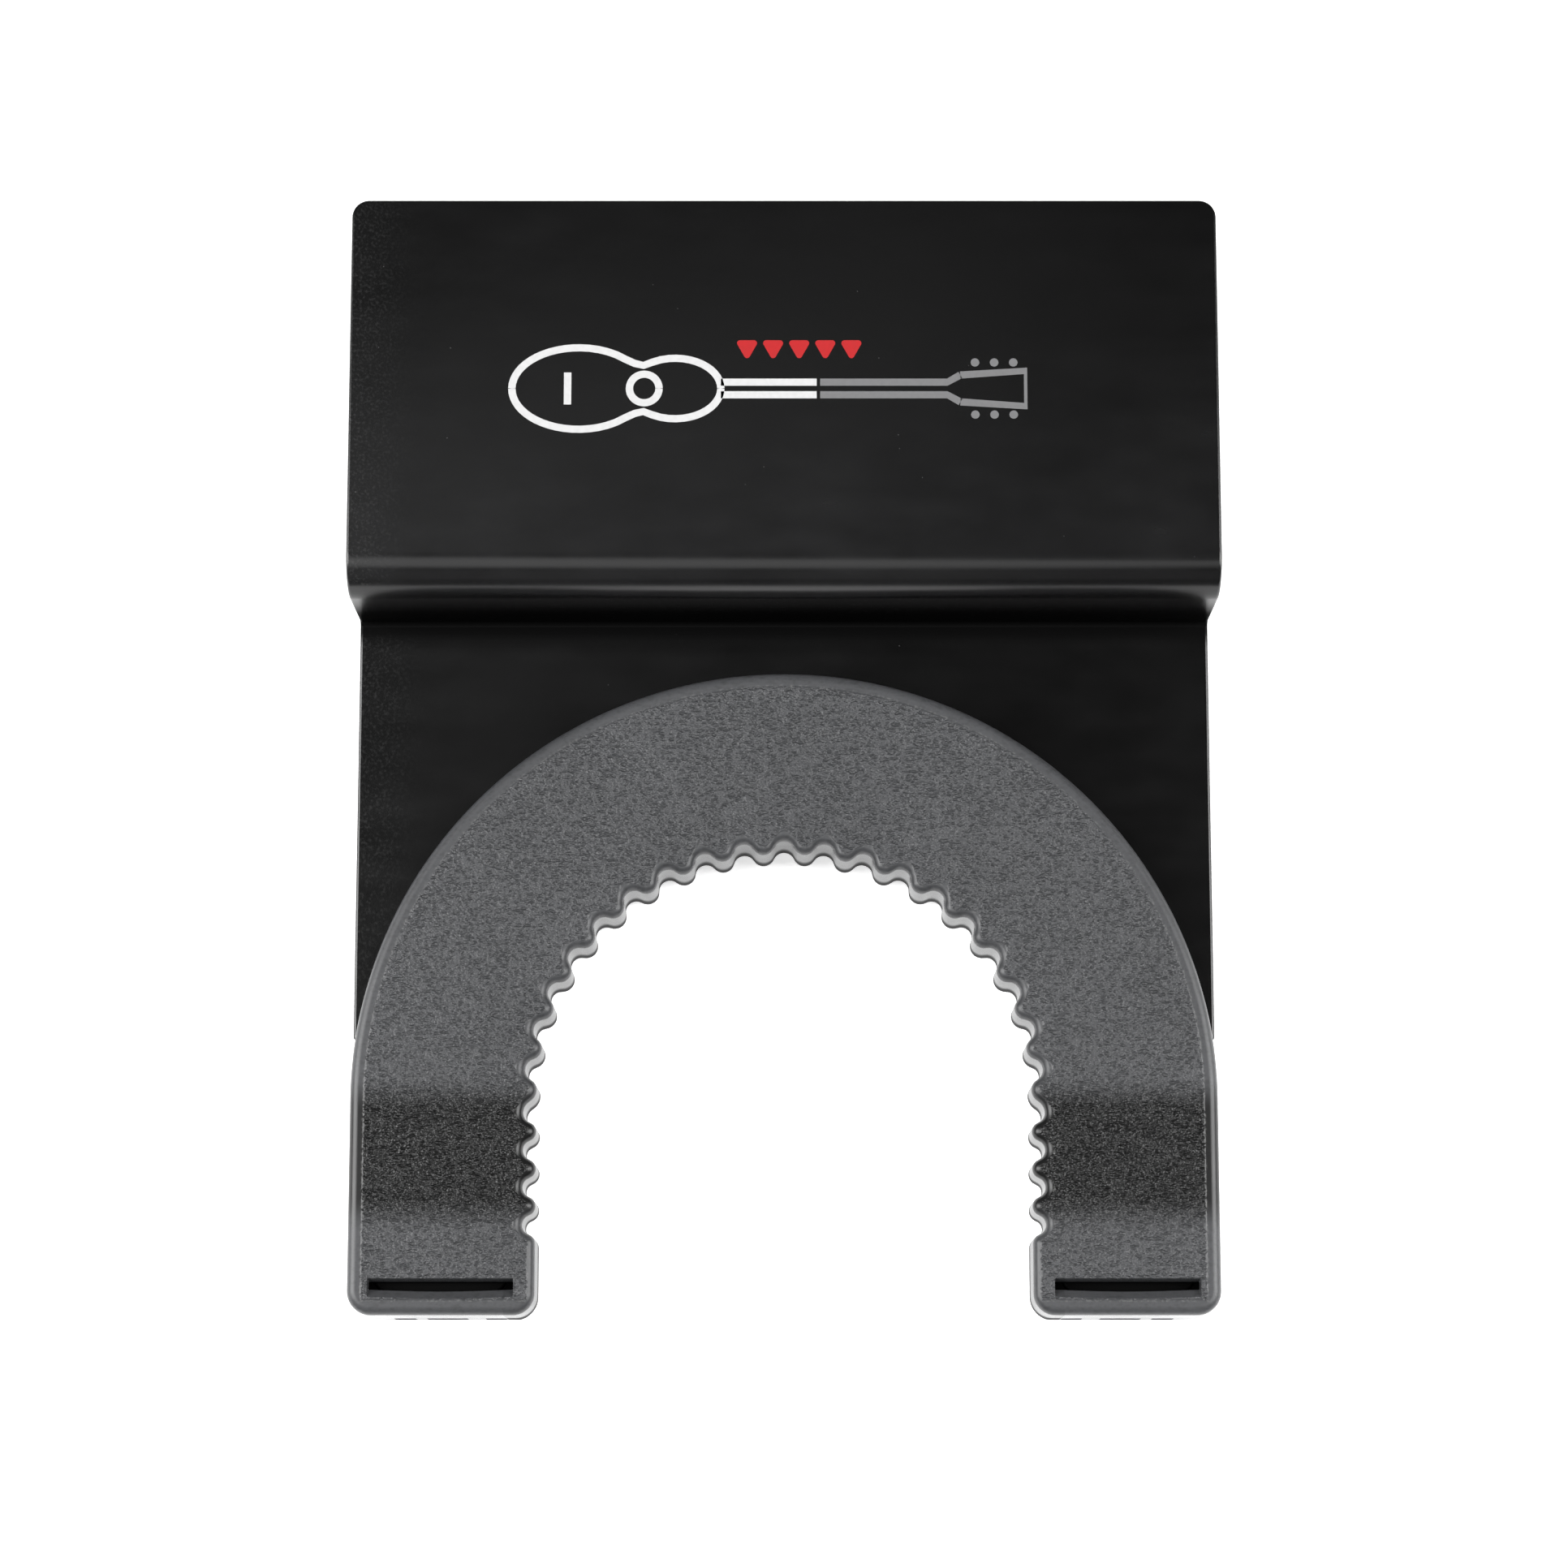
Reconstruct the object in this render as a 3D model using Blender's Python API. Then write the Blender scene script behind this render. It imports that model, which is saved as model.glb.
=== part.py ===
"""Guitar rest yoke: a steel bracket, bent like a Z, with a rubber boot on its U-shaped fork.

Metres, +Z up. X runs across the bracket and +Y to the rear edge of its raised plate. The origin is
the centre of the underside of the pad that lies on a shelf. The yoke hangs out in front of the
shelf, and its mouth opens towards -Y.
"""

import math

import bmesh
import bpy

MM = 0.001
GAP = 0.3 * MM  # between pieces that touch

# Steel bracket
WIDTH = 100.0 * MM
SHEET = 2.3 * MM
STEP_HEIGHT = 15.5 * MM  # from the lower plate's top to the raised plate's
RAISED_LENGTH = 46.4 * MM  # from the step's front face to the rear edge
REAR_CORNER = 2.0 * MM
RAISED_BEND = 4.5 * MM  # outer radius of the bend at the raised plate
LOWER_BEND = 0.6 * MM  # inner radius of the tight bend at the lower plate
BEND_STEPS = 8

# Rubber boot, measured from the centre of its round end
BOOT_RADIUS = WIDTH / 2
ARM_LENGTH = 25.0 * MM
BOOT_THICKNESS = 12.0 * MM
BOOT_STANDS_PROUD = 3.0 * MM  # above the lower plate
BOOT_TO_STEP = 6.65 * MM
FRONT_FILLET = 1.15 * MM
REAR_FILLET = 2.0 * MM
MOUTH_REAR_ROUNDING = 4.8 * MM  # height of the rounding at the mouth's rear edge
OUTER_TIP_CORNER = 2.8 * MM
INNER_TIP_CORNER = 2.5 * MM
ROUND_END_STEPS = 44

# Scalloped mouth
MOUTH_RADIUS = 28.5 * MM  # at the scallops' tips, and at the plain ends of the arms
SCALLOP_DEPTH = 1.5 * MM
HALF_SCALLOP_ANGLE = math.radians(4.64)
HALF_SCALLOPS_ON_ARC = 19  # each side of the middle valley
FIRST_ARM_VALLEY = 1.75 * MM  # from the arc's end
HALF_SCALLOP_ON_ARM = 2.15 * MM
HALF_SCALLOPS_ON_ARM = 7
POINTS_PER_HALF_SCALLOP = 4

# Fork inside the boot
FORK_INNER_RADIUS = 31.8 * MM
FORK_OUTER_RADIUS = 47.2 * MM
FORK_SHOULDER = 7.0 * MM  # from the arc's centre, where the plate narrows to the fork
FORK_END_WALL = 2.6 * MM
FORK_TIP_CORNER = 2.0 * MM

# Slot near each arm's tip
SLOT_LENGTH = 16.7 * MM
SLOT_WIDTH = 2.65 * MM
SLIT_LENGTH = 16.2 * MM
SLIT_WIDTH = 0.9 * MM
SLOT_DEPTH = 1.0 * MM
SLOT_TO_TIP = 3.4 * MM

# Recesses in each arm's end face, which the cores of the mould leave: (inner side, outer side),
# measured outwards from the arm's middle
RECESSES = ((-7.1 * MM, -4.7 * MM), (-2.6 * MM, 2.1 * MM), (3.4 * MM, 5.9 * MM))
RECESS_DEPTH = 4.0 * MM
RECESS_HEIGHT = 2.5 * MM
RECESS_TO_FILLET = 0.5 * MM

# Pad under the raised plate, and bumper behind the step
PAD_THICKNESS = 1.5 * MM
PAD_INSET = 4.0 * MM
PAD_CORNER = 3.0 * MM
PAD_REAR_INSET = 2.5 * MM
PAD_FRONT_INSET = 0.85 * MM  # from the end of the bend
BUMPER_INSET = 0.35 * MM  # from the bend above it
BUMPER_HEIGHT = 8.0 * MM
BUMPER_CORNER = 0.6 * MM

# Heights
PLATE_TOP = PAD_THICKNESS + GAP + SHEET
LOWER_TOP = PLATE_TOP - STEP_HEIGHT
BOOT_FRONT = LOWER_TOP + BOOT_STANDS_PROUD
BOOT_REAR = BOOT_FRONT - BOOT_THICKNESS

# Places along Y, from the centre of the boot's round end
STEP_FRONT = BOOT_RADIUS + BOOT_TO_STEP
STEP_BACK = STEP_FRONT + SHEET
REAR_EDGE = STEP_FRONT + RAISED_LENGTH
PAD_FRONT = STEP_FRONT + RAISED_BEND + PAD_FRONT_INSET
PAD_REAR = REAR_EDGE - PAD_REAR_INSET
CENTRE_Y = -(PAD_FRONT + PAD_REAR) / 2  # the round end's centre, in the part's frame
ARM_MIDDLE = (MOUTH_RADIUS + BOOT_RADIUS) / 2


def clear_scene():
    for obj in list(bpy.data.objects):
        bpy.data.objects.remove(obj)


def material(name, colour, roughness, metallic=0.0):
    made = bpy.data.materials.new(name)
    made.use_nodes = True
    shader = made.node_tree.nodes["Principled BSDF"]
    shader.inputs["Base Color"].default_value = (*colour, 1.0)
    shader.inputs["Roughness"].default_value = roughness
    shader.inputs["Metallic"].default_value = metallic
    return made


def arc(centre, radius, start, end, steps):
    """Points on an arc from start to end, in degrees, both ends included."""
    angles = [math.radians(start + (end - start) * i / steps) for i in range(steps + 1)]
    return [(centre[0] + radius * math.cos(a), centre[1] + radius * math.sin(a)) for a in angles]


def loft(name, rings, finish):
    """A closed body through rings that have the same number of points, each (x, y, z)."""
    mesh = bmesh.new()
    loops = [[mesh.verts.new(point) for point in ring] for ring in rings]
    for low, high in zip(loops, loops[1:]):
        for i in range(len(low)):
            j = (i + 1) % len(low)
            mesh.faces.new((low[i], low[j], high[j], high[i]))
    mesh.faces.new(list(reversed(loops[0])))
    mesh.faces.new(loops[-1])
    bmesh.ops.recalc_face_normals(mesh, faces=mesh.faces)
    data = bpy.data.meshes.new(name)
    mesh.to_mesh(data)
    mesh.free()
    data.shade_smooth()
    data.set_sharp_from_angle(angle=math.radians(30))
    if finish:
        data.materials.append(finish)
    made = bpy.data.objects.new(name, data)
    bpy.context.scene.collection.objects.link(made)
    return made


def ring(outline, z):
    """A plan outline, given from the round end's centre, at height z in the part's frame."""
    return [(x, y + CENTRE_Y, z) for x, y in outline]


def prism(name, outline, low, high, finish=None):
    return loft(name, [ring(outline, low), ring(outline, high)], finish)


def rounded_rectangle(x_low, x_high, y_low, y_high, corner, steps=4):
    return (
        arc((x_high - corner, y_low + corner), corner, -90, 0, steps)
        + arc((x_high - corner, y_high - corner), corner, 0, 90, steps)
        + arc((x_low + corner, y_high - corner), corner, 90, 180, steps)
        + arc((x_low + corner, y_low + corner), corner, 180, 270, steps)
    )


def combine(body, tool, operation="DIFFERENCE"):
    """Cuts the body with the tool, or keeps what both share, and hides the tool."""
    modifier = body.modifiers.new(tool.name, "BOOLEAN")
    modifier.operation = operation
    modifier.solver = "EXACT"
    modifier.object = tool
    tool.hide_render = True
    tool.display_type = "WIRE"


def fork_outline(clearance):
    """Plan outline of the flat sheet, with its fork, grown by a clearance."""
    half = WIDTH / 2 + clearance
    outer = FORK_OUTER_RADIUS + clearance
    inner = FORK_INNER_RADIUS - clearance
    corner = FORK_TIP_CORNER + clearance
    tip = -ARM_LENGTH + FORK_END_WALL - clearance
    shoulder = FORK_SHOULDER - clearance
    shoulder_angle = math.degrees(math.asin(shoulder / outer))
    right_tip = arc((outer - corner, tip + corner), corner, 0, -90, 4) + arc(
        (inner + corner, tip + corner), corner, -90, -180, 4
    )
    mouth = arc((0, 0), inner, 0, 180, ROUND_END_STEPS)
    left_tip = [(-x, y) for x, y in reversed(right_tip)]
    right_arc = arc((0, 0), outer, shoulder_angle, 0, 2)
    left_arc = [(-x, y) for x, y in reversed(right_arc)]
    rear = arc((-half + REAR_CORNER, REAR_EDGE - REAR_CORNER), REAR_CORNER, 180, 90, 6) + arc(
        (half - REAR_CORNER, REAR_EDGE - REAR_CORNER), REAR_CORNER, 90, 0, 6
    )
    return [
        (half, shoulder),
        *right_arc,
        *right_tip,
        *mouth,
        *left_tip,
        *left_arc,
        (-half, shoulder),
        *rear,
    ]


def bracket_profile():
    """Side view of the bent sheet as (y, z), from the fork's tip to the raised plate's rear edge."""
    rear_centre = (STEP_FRONT + RAISED_BEND, PLATE_TOP - RAISED_BEND)
    front_centre = (STEP_FRONT - LOWER_BEND, LOWER_TOP + LOWER_BEND)
    over = 5 * MM  # the outline cuts the ends to length
    top = [(-ARM_LENGTH - over, LOWER_TOP)]
    top += arc(front_centre, LOWER_BEND, -90, 0, BEND_STEPS)
    top += arc(rear_centre, RAISED_BEND, 180, 90, BEND_STEPS)
    top += [(REAR_EDGE + over, PLATE_TOP)]
    under = [(REAR_EDGE + over, PLATE_TOP - SHEET)]
    under += arc(rear_centre, RAISED_BEND - SHEET, 90, 180, BEND_STEPS)
    under += arc(front_centre, LOWER_BEND + SHEET, 0, -90, BEND_STEPS)
    under += [(-ARM_LENGTH - over, LOWER_TOP - SHEET)]
    return top + under


def bracket_plate(finish):
    """Bent sheet, cut to its outline: rounded rear corners, shoulders, and the U-shaped fork."""
    over = 5 * MM
    sides = [
        [(x, y + CENTRE_Y, z) for y, z in bracket_profile()]
        for x in (-WIDTH / 2 - over, WIDTH / 2 + over)
    ]
    plate = loft("bracket_plate", sides, finish)
    outline = prism("sheet_outline", fork_outline(0), BOOT_REAR, PLATE_TOP + over)
    combine(plate, outline, "INTERSECT")
    return plate


def scallop(distance, half_pitch):
    """How far the edge has come forward, this far along from a scallop's bottom to its tip.

    The edge is two equal arcs, one hollow and one round, that meet half way.
    """
    radius = (half_pitch**2 + SCALLOP_DEPTH**2) / (4 * SCALLOP_DEPTH)
    from_end = min(distance, half_pitch - distance)
    rise = radius - math.sqrt(radius**2 - from_end**2)
    return rise if from_end == distance else SCALLOP_DEPTH - rise


def mouth_edge(inset):
    """The scalloped edge, from the left arm's plain end round to the right arm's."""
    mean = MOUTH_RADIUS + SCALLOP_DEPTH / 2
    arc_end = mean * math.pi / 2
    stations = [mean * HALF_SCALLOP_ANGLE * i for i in range(HALF_SCALLOPS_ON_ARC + 1)]
    stations += [
        arc_end + FIRST_ARM_VALLEY + HALF_SCALLOP_ON_ARM * i for i in range(HALF_SCALLOPS_ON_ARM + 1)
    ]
    right = []
    for i, (start, end) in enumerate(zip(stations, stations[1:])):
        for j in range(POINTS_PER_HALF_SCALLOP):
            distance = (end - start) * j / POINTS_PER_HALF_SCALLOP
            forward = scallop(distance, end - start)
            depth = forward if i % 2 else SCALLOP_DEPTH - forward
            right.append((start + distance, MOUTH_RADIUS + depth + inset))
    right.append((stations[-1], MOUTH_RADIUS + inset))
    points = []
    for distance, radius in right:
        if distance <= arc_end:
            angle = math.pi / 2 - distance / mean
            points.append((radius * math.cos(angle), radius * math.sin(angle)))
        else:
            points.append((radius, arc_end - distance))
    return [(-x, y) for x, y in reversed(points[1:])] + points


def rear_inset(height, rounding):
    """How far a rounding of the rear edge sets the boot's side back, at a height above the rear."""
    below = max(0.0, 1 - height / rounding)
    return REAR_FILLET * (1 - math.sqrt(1 - below**2))


def boot_outline(inset, mouth_inset):
    """Plan outline of the boot, shrunk by insets outside and in the mouth, for its rounded edges."""
    tip = -ARM_LENGTH
    outer_corner = arc(
        (BOOT_RADIUS - OUTER_TIP_CORNER, tip + OUTER_TIP_CORNER), OUTER_TIP_CORNER - inset, 0, -90, 5
    )
    inner_corner = [
        (
            MOUTH_RADIUS + INNER_TIP_CORNER + (INNER_TIP_CORNER - mouth_inset) * x,
            tip + INNER_TIP_CORNER + (INNER_TIP_CORNER - inset) * y,
        )
        for x, y in arc((0, 0), 1, -90, -180, 5)
    ]
    right_tip = outer_corner + inner_corner
    left_tip = [(-x, y) for x, y in reversed(right_tip)]
    round_end = arc((0, 0), BOOT_RADIUS - inset, 180, 0, ROUND_END_STEPS)
    return right_tip + list(reversed(mouth_edge(mouth_inset))) + left_tip + round_end


def slot_cutter(side):
    """Funnel through the boot's front wall, down to a slit over the steel."""
    x_middle = side * ARM_MIDDLE
    y_middle = -ARM_LENGTH + SLOT_TO_TIP
    over = 0.5 * MM
    grow = over / SLOT_DEPTH

    def rectangle(length, width):
        return [
            (x_middle + sx * length / 2, y_middle + sy * width / 2)
            for sx, sy in ((-1, -1), (1, -1), (1, 1), (-1, 1))
        ]

    mouth = rectangle(
        SLOT_LENGTH + grow * (SLOT_LENGTH - SLIT_LENGTH), SLOT_WIDTH + grow * (SLOT_WIDTH - SLIT_WIDTH)
    )
    slit = rectangle(SLIT_LENGTH, SLIT_WIDTH)
    rings = [
        ring(slit, LOWER_TOP + GAP / 3),
        ring(slit, BOOT_FRONT - SLOT_DEPTH),
        ring(mouth, BOOT_FRONT + over),
    ]
    return loft(f"slot_cutter_{'left' if side < 0 else 'right'}", rings, None)


def recess_cutter(name, side, inner, outer):
    """Blind pocket that runs into an arm from its end face, below the steel."""
    x_low, x_high = sorted(side * (ARM_MIDDLE + edge) for edge in (inner, outer))
    over = 1 * MM
    y_low, y_high = -ARM_LENGTH - over, -ARM_LENGTH + RECESS_DEPTH
    low = BOOT_REAR + REAR_FILLET + RECESS_TO_FILLET
    outline = [(x_low, y_low), (x_high, y_low), (x_high, y_high), (x_low, y_high)]
    return prism(name, outline, low, low + RECESS_HEIGHT)


def yoke_boot(finish):
    """Horseshoe with rounded edges, a pocket for the fork, slots, and recesses in its ends."""
    turns = [math.radians(angle) for angle in (0, 45, 90)]
    rings = []
    for height in (0, REAR_FILLET * (1 - math.sin(turns[1])), REAR_FILLET, MOUTH_REAR_ROUNDING):
        insets = rear_inset(height, REAR_FILLET), rear_inset(height, MOUTH_REAR_ROUNDING)
        rings.append(ring(boot_outline(*insets), BOOT_REAR + height))
    for turn in turns:
        inset = FRONT_FILLET * (1 - math.cos(turn))
        rings.append(ring(boot_outline(inset, inset), BOOT_FRONT - FRONT_FILLET * (1 - math.sin(turn))))
    boot = loft("yoke_boot", rings, finish)
    pocket = prism("fork_pocket", fork_outline(GAP), LOWER_TOP - SHEET - GAP, LOWER_TOP + GAP)
    combine(boot, pocket)
    for side, place in ((-1, "left"), (1, "right")):
        combine(boot, slot_cutter(side))
        for number, (inner, outer) in enumerate(RECESSES, 1):
            combine(boot, recess_cutter(f"recess_cutter_{place}_{number}", side, inner, outer))
    return boot


def raised_plate_pad(finish):
    """Flat pad with rounded corners, under the raised plate."""
    half = WIDTH / 2 - PAD_INSET
    outline = rounded_rectangle(-half, half, PAD_FRONT, PAD_REAR, PAD_CORNER, 6)
    return prism("raised_plate_pad", outline, 0, PAD_THICKNESS, finish)


def step_bumper(finish):
    """Strip on the flat of the step's back face, under the bend at the raised plate."""
    half = WIDTH / 2 - PAD_INSET
    high = PLATE_TOP - RAISED_BEND - BUMPER_INSET
    low = high - BUMPER_HEIGHT
    outline = rounded_rectangle(-half, half, low, high, BUMPER_CORNER, 3)
    faces = [
        [(x, y + CENTRE_Y, z) for x, z in outline]
        for y in (STEP_BACK + GAP, STEP_BACK + GAP + PAD_THICKNESS)
    ]
    return loft("step_bumper", faces, finish)


def main():
    clear_scene()
    powder_coat = material("black_powder_coat", (0.012, 0.012, 0.013), 0.35)
    grey_rubber = material("grey_boot_rubber", (0.115, 0.117, 0.122), 0.6)
    black_rubber = material("black_pad_rubber", (0.02, 0.02, 0.021), 0.8)
    bracket_plate(powder_coat)
    yoke_boot(grey_rubber)
    raised_plate_pad(black_rubber)
    step_bumper(black_rubber)


main()
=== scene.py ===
"""Guitar rest yoke: a bent steel bracket with a rubber boot on its fork, on a pale studio table.

Metres, in the frame of the CAD model: X across, +Y to the raised plate's rear edge, +Z up.
"""

import math

import bmesh
import bpy
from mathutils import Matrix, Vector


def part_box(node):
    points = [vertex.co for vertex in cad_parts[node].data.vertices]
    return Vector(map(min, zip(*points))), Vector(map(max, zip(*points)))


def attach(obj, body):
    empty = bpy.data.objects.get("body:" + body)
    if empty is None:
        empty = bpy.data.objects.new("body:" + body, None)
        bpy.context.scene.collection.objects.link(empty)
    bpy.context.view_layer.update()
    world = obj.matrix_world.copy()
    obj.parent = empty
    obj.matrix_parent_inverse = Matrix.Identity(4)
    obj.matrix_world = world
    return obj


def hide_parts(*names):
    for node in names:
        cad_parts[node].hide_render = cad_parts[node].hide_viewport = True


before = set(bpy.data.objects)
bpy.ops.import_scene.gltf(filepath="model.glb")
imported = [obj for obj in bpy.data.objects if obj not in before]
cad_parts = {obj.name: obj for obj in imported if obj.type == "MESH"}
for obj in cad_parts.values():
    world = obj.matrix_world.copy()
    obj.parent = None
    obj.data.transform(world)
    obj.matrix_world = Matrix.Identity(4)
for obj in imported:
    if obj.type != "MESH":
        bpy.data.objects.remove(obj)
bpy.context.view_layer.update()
MM = 0.001


# ---------------------------------------------------------------------------------------------
# Camera and table. The yoke lies face up on a pale table under wide soft lights, seen from
# above its arms, so that the down-facing walls of the step, the slots and the mouth show.
# ---------------------------------------------------------------------------------------------
boot_low, boot_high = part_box("yoke_boot")
boot_radius = (boot_high.x - boot_low.x) / 2
round_end_y = boot_high.y - boot_radius  # centre of the boot's round end

CAMERA_HEIGHT = 410 * MM  # above the pad's underside, where the origin is
CAMERA_IN_FRONT = 48.7 * MM  # of the round end's centre
CAMERA_TILT = math.radians(8.59)

camera = bpy.data.objects.new("camera", bpy.data.cameras.new("camera"))
bpy.context.scene.collection.objects.link(camera)
camera.location = (0, round_end_y - CAMERA_IN_FRONT, CAMERA_HEIGHT)
camera.rotation_euler = (CAMERA_TILT, 0, 0)
camera.data.lens = 84.1
camera.data.shift_y = 0.12
camera.data.clip_start = 0.01
bpy.context.scene.camera = camera


class Value:
    """A socket of a finish. Arithmetic on it adds Math nodes to that finish."""

    def __init__(self, finish, socket):
        self.finish = finish
        self.socket = socket

    def calculate(self, operation, *others):
        inputs = dict(enumerate((self, *others)))
        return self.finish.node("ShaderNodeMath", {"operation": operation}, inputs)

    def __add__(self, other):
        return self.calculate("ADD", other)

    def __sub__(self, other):
        return self.calculate("SUBTRACT", other)

    def __rsub__(self, other):
        return self.finish.node("ShaderNodeMath", {"operation": "SUBTRACT"}, {0: other, 1: self})

    def __mul__(self, other):
        return self.calculate("MULTIPLY", other)

    def __pow__(self, other):
        return self.calculate("POWER", other)

    def __lt__(self, other):
        return self.calculate("LESS_THAN", other)

    def __abs__(self):
        return self.calculate("ABSOLUTE")

    __radd__ = __add__
    __rmul__ = __mul__

    def cosine(self):
        return self.calculate("COSINE")

    def turned_from(self, other):
        """Angle of the direction (other, self), measured from the other."""
        return self.calculate("ARCTAN2", other)

    def least(self, other):
        return self.calculate("MINIMUM", other)

    def most(self, other):
        return self.calculate("MAXIMUM", other)

    def between(self, low, high):
        """0 below low, 1 above high, and a smooth rise in between."""
        settings = {"interpolation_type": "SMOOTHSTEP"}
        inputs = {"Value": self, "From Min": low, "From Max": high}
        return self.finish.node("ShaderNodeMapRange", settings, inputs)


class Finish:
    """One procedural material. Its patterns are measured in metres from the part's origin."""

    def __init__(self, name, **fixed):
        self.material = bpy.data.materials.new(name)
        self.material.use_nodes = True
        self.tree = self.material.node_tree
        self.shader = self.tree.nodes["Principled BSDF"]
        for socket, value in fixed.items():
            self.shader.inputs[socket.replace("_", " ")].default_value = value

    def node(self, kind, settings=None, inputs=None, output=0):
        """Adds a node, sets it up, feeds its sockets with values or links, and gives an output."""
        made = self.tree.nodes.new(kind)
        for name, value in (settings or {}).items():
            setattr(made, name, value)
        for name, value in (inputs or {}).items():
            self.feed(made.inputs[name], value)
        return Value(self, made.outputs[output])

    def feed(self, socket, value):
        if isinstance(value, Value):
            self.tree.links.new(value.socket, socket)
        else:
            socket.default_value = value

    def set(self, **sockets):
        for name, value in sockets.items():
            self.feed(self.shader.inputs[name.replace("_", " ")], value)

    def places(self):
        return self.node("ShaderNodeTexCoord", output="Object")

    def coordinate(self, axis):
        return self.node("ShaderNodeSeparateXYZ", inputs={"Vector": self.places()}, output=axis)

    def noise(self, size, detail=2.0, roughness=0.5, stretch=1.0):
        """Noise whose blotches are about this size, or this many times as long in X."""
        squeeze = {0: self.places(), 1: (1 / stretch, 1, 1)}
        places = self.node("ShaderNodeVectorMath", {"operation": "MULTIPLY"}, squeeze)
        inputs = {"Vector": places, "Scale": 1 / size, "Detail": detail, "Roughness": roughness}
        return self.node("ShaderNodeTexNoise", inputs=inputs)

    def specks(self, spacing, radius, share):
        """Small round specks of dust: one in each cell of this spacing, in this share of the cells."""
        inputs = {"Vector": self.places(), "Scale": 1 / spacing}
        cells = {"feature": "F1"}
        away = self.node("ShaderNodeTexVoronoi", cells, inputs, "Distance")
        colour = self.node("ShaderNodeTexVoronoi", cells, inputs, "Color")
        chance = self.node("ShaderNodeSeparateColor", inputs={"Color": colour})
        return (1 - away.between(0.3 * radius / spacing, radius / spacing)) * (chance < share)

    def blend(self, factor, first, second):
        """A colour between two, each (r, g, b) or a link."""
        first, second = (c if isinstance(c, Value) else (*c, 1) for c in (first, second))
        inputs = {0: factor, 6: first, 7: second}
        return self.node("ShaderNodeMix", {"data_type": "RGBA"}, inputs, 2)

    def cover(self, mask, **fixed):
        """Lays a second plain shader over the first one where the mask is 1."""
        inputs = {socket.replace("_", " "): value for socket, value in fixed.items()}
        second = self.node("ShaderNodeBsdfPrincipled", inputs=inputs)
        first = Value(self, self.shader.outputs["BSDF"])
        mixed = self.node("ShaderNodeMixShader", inputs={0: mask, 1: first, 2: second})
        self.feed(self.tree.nodes["Material Output"].inputs["Surface"], mixed)

    def bump(self, height, depth, strength=1.0):
        """Bump of a height between 0 and 1, where 1 stands for this depth in metres."""
        inputs = {"Height": height, "Distance": depth, "Strength": strength}
        self.set(Normal=self.node("ShaderNodeBump", inputs=inputs))


def to_object(name, mesh):
    data = bpy.data.meshes.new(name)
    mesh.to_mesh(data)
    mesh.free()
    made = bpy.data.objects.new(name, data)
    bpy.context.scene.collection.objects.link(made)
    return made


def flat_surface(name, outline, height):
    """A flat face at a height, from a plan outline that runs to the left."""
    mesh = bmesh.new()
    mesh.faces.new([mesh.verts.new((x, y, height)) for x, y in outline])
    return to_object(name, mesh)


TABLE_REACH = 8.0  # from the middle to each edge, so that no edge shows in a low view
TABLE_GLOW = 0.65  # so that the table stays white between the lights, as lit studio paper does
table = Finish("pale_table", Roughness=0.6, Specular_IOR_Level=0.2)
table.set(Emission_Color=(1, 1, 1, 1), Emission_Strength=TABLE_GLOW)
table.set(Base_Color=table.blend(table.noise(150 * MM), (0.9, 0.9, 0.9), (0.92, 0.92, 0.92)))
corners = [(x * TABLE_REACH, y * TABLE_REACH) for x, y in ((-1, -1), (1, -1), (1, 1), (-1, 1))]
floor = flat_surface("table_top", corners, boot_low.z)
floor.data.materials.append(table.material)


def soft_light(name, place, aim, size, strength):
    """A rectangular soft box. Its strength is its brightness, where 1 is white."""
    data = bpy.data.lights.new(name, "AREA")
    data.shape = "RECTANGLE"
    data.size, data.size_y = size
    data.energy = strength * math.pi * size[0] * size[1]
    made = bpy.data.objects.new(name, data)
    bpy.context.scene.collection.objects.link(made)
    made.location = place
    towards = Vector(aim) - Vector(place)
    made.rotation_euler = towards.to_track_quat("-Z", "Y").to_euler()


middle = (0, round_end_y + 40 * MM, 0)
soft_light("left_box", (-0.85, -0.05, 0.75), middle, (0.6, 0.9), 10.9)
soft_light("right_box", (0.85, -0.05, 0.75), middle, (0.6, 0.9), 9.6)
soft_light("front_box", (-0.16, -0.32, 1.0), middle, (0.8, 0.44), 1.4)
soft_light("low_front_box", (0, -0.9, 0.6), middle, (1.0, 0.5), 0.2)
soft_light("rear_box", (-0.11, 0.27, 1.0), middle, (0.46, 0.06), 1.0)
for side, place in (("left", (-1.6, 0.1, 0.5)), ("right", (1.6, 0.1, 0.5)), ("rear", (0, 1.6, 0.5))):
    soft_light(f"low_{side}_wall", place, middle, (2.0, 0.8), 0.5)

bpy.context.scene.world = bpy.data.worlds.new("studio")
bpy.context.scene.world.use_nodes = True
background = bpy.context.scene.world.node_tree.nodes["Background"]
background.inputs["Color"].default_value = (1, 1, 1, 1)
background.inputs["Strength"].default_value = 0.02
bpy.context.scene.view_settings.view_transform = "Standard"


# ---------------------------------------------------------------------------------------------
# Bracket plate. Steel sheet, laser-cut with a U-shaped fork, then bent twice over a press
# brake and powder-coated black. Dust and a faint haze lie on the semi-gloss coat.
# Painted into the coat's colour: a sheen on the raised plate, and shade in the step's inner corner and
# inside the boot.
# ---------------------------------------------------------------------------------------------
plate_low, plate_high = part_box("bracket_plate")
SHEET = 2.3 * MM
UPPER_BEND = 4.5 * MM  # outer radius
LOWER_BEND = 0.6 * MM  # inner radius
SHEET_EDGE = 0.35 * MM  # rounding that the coat leaves on the cut edges
REAR_CORNER = 2.0 * MM
FORK_INNER = 31.8 * MM
FORK_OUTER = 47.2 * MM
FORK_CORNER = 2.0 * MM
SHOULDER = 7.0 * MM  # behind the round end's centre, where the plate narrows to the fork
STEP_FRONT = 56.65 * MM  # behind the same centre
BEND_STEPS = 20

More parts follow.
